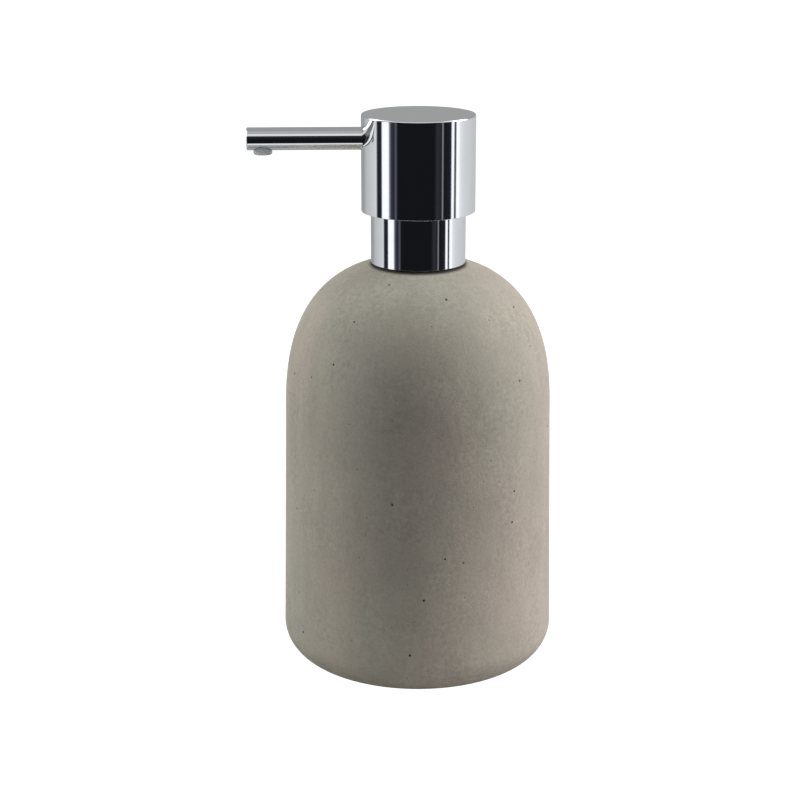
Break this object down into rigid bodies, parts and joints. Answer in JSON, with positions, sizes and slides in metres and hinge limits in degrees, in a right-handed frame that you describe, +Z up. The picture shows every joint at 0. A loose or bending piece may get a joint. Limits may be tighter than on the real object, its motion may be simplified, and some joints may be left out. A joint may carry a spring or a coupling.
{
  "type": "soap pump dispenser",
  "caption": "Round-shouldered cast stone bottle with a chrome lotion pump: press the wide head to draw soap up and out of the side spout.",
  "frame": {"origin": "middle of the flat face that the dispenser stands on, which is the underside of the base pad", "axes": "+Z up along the pump's axis; the spout points along -X at rest"},
  "size_m": [0.0914, 0.0826, 0.1675],
  "materials": {
    "stone": "matte cast",
    "chrome": "polished",
    "white_plastic": "moulded",
    "clear_plastic": "natural, moulded",
    "spring_steel": "drawn wire",
    "steel_ball": "ground",
    "seal_rubber": "matte",
    "foot_foam": "fine cell"
  },
  "bodies": {
    "bottle": {"bottle_shell": "stone", "base_pad": "foot_foam", "neck_insert": "white_plastic"},
    "pump_unit": {"pump_housing": "clear_plastic", "housing_cap": "white_plastic", "ball_retainer": "white_plastic", "dip_tube": "clear_plastic", "neck_gasket": "seal_rubber"},
    "closure": {"closure_cap": "white_plastic", "collar_shell": "chrome"},
    "spring": {"return_spring": "spring_steel"},
    "head": {"stem": "white_plastic", "stem_plug": "white_plastic", "head_core": "white_plastic", "head_shell": "chrome", "spout_tube": "chrome", "spout_liner": "clear_plastic", "nozzle_tip": "white_plastic"},
    "piston_body": {"piston": "clear_plastic"},
    "ball_body": {"inlet_ball": "steel_ball"}
  },
  "joints": [
    {"name": "thread_rise", "type": "slide", "parent": "bottle", "child": "pump_unit", "axis": [0, 0, 1], "range_m": [0, 0.00476]},
    {"name": "closure_turn", "type": "hinge", "parent": "pump_unit", "child": "closure", "pos_m": [0, 0, 0.13], "axis": [0, 0, 1], "range_deg": [0, 540]},
    {"name": "head_press", "type": "slide", "parent": "pump_unit", "child": "spring", "axis": [0, 0, -1], "range_m": [0, 0.013], "stiffness_N_per_m": 450, "springref_m": -0.01, "deforming": ["return_spring"]},
    {"name": "head_swivel", "type": "hinge", "parent": "spring", "child": "head", "pos_m": [0, 0, 0.14], "axis": [0, 0, 1], "continuous": true},
    {"name": "piston_lag", "type": "slide", "parent": "head", "child": "piston_body", "axis": [0, 0, 1], "range_m": [0, 0.001]},
    {"name": "inlet_ball_lift", "type": "slide", "parent": "pump_unit", "child": "ball_body", "axis": [0, 0, 1], "range_m": [0, 0.0012]}
  ],
  "couplings": [
    {"joint": "closure_turn", "follows": "thread_rise", "rad_per_m": 1979}
  ]
}
